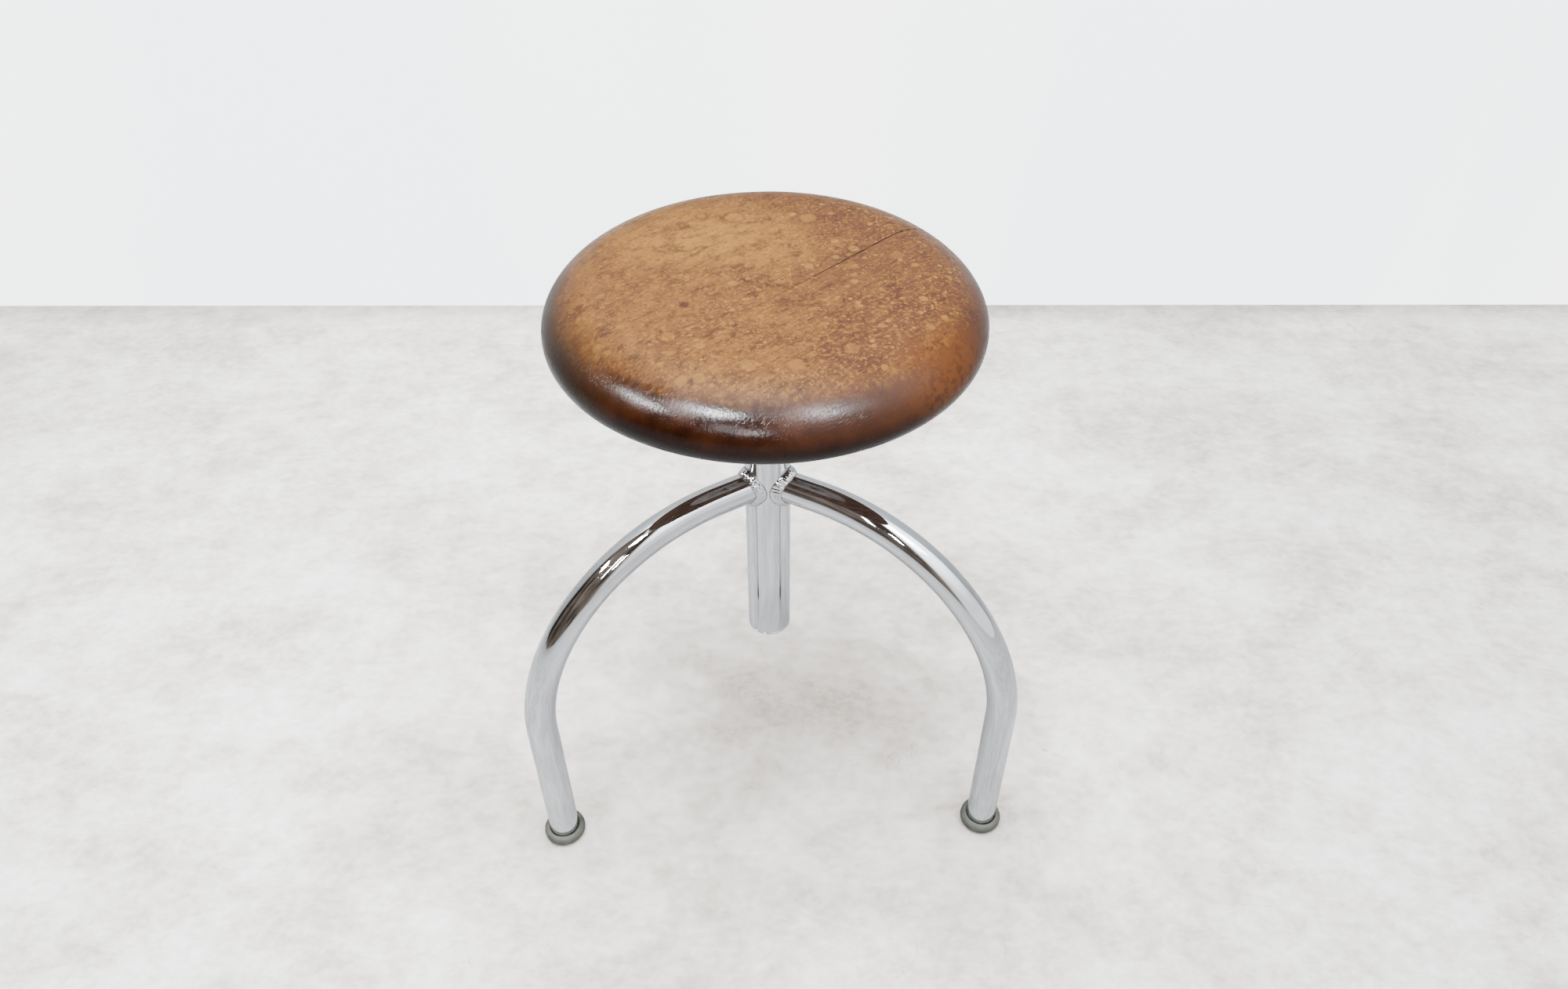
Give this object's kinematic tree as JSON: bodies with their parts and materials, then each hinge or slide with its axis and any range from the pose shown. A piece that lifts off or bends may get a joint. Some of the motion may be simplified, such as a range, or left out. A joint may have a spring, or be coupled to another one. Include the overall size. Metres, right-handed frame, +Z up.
{
  "type": "revolving screw stool",
  "caption": "Stool with a round wooden seat that turns on a screw spindle to set its height, on a column with bent chromed tube legs and rubber feet.",
  "frame": {"origin": "on the column axis at floor level, at the centre of the circle through the three feet", "axes": "+Z up along the column; the front, between two of the legs, faces -Y; the third leg points along +Y"},
  "size_m": [0.4102, 0.389, 0.5045],
  "materials": {
    "chrome_tube": "bright nickel-chrome plate, slightly worn and pitted",
    "weld_chrome": "plated weld bead, lumpy, dull in the hollows",
    "foot_rubber": "aged grey-green rubber, matt",
    "nut_steel": "turned steel, greased",
    "bush_bronze": "turned bearing bronze",
    "spindle_steel": "cut thread, lightly oiled",
    "plate_iron": "black lacquered iron, satin",
    "fixing_steel": "zinc-grey steel",
    "seat_wood": "varnished hardwood, worn bare and water-marked on top"
  },
  "bodies": {
    "frame": {"column_tube": "chrome_tube", "column_end_cap": "chrome_tube", "thread_nut": "nut_steel", "nut_screws": "fixing_steel", "leg_front_left": "chrome_tube", "leg_front_right": "chrome_tube", "leg_rear": "chrome_tube", "weld_front_left": "weld_chrome", "weld_front_right": "weld_chrome", "weld_rear": "weld_chrome", "foot_front_left": "foot_rubber", "foot_front_right": "foot_rubber", "foot_rear": "foot_rubber"},
    "guide": {"guide_bush": "bush_bronze"},
    "seat": {"spindle": "spindle_steel", "guide_washer": "fixing_steel", "spindle_end_nut": "fixing_steel", "spindle_split_pin": "fixing_steel", "seat_hub": "plate_iron", "hub_pin": "fixing_steel", "hub_weld": "plate_iron", "seat_plate": "plate_iron", "seat_screws": "fixing_steel", "seat_board_wide": "seat_wood", "seat_board_narrow": "seat_wood"}
  },
  "joints": [
    {"name": "seat_lift", "type": "slide", "parent": "frame", "child": "guide", "axis": [0, 0, 1], "range_m": [-0.035, 0.13]},
    {"name": "seat_turn", "type": "hinge", "parent": "guide", "child": "seat", "pos_m": [0, 0, 0.4], "axis": [0, 0, 1], "range_deg": [-2520, 9360]}
  ],
  "couplings": [
    {"joint": "seat_lift", "follows": "seat_turn", "m_per_rad": 0.00079577}
  ]
}
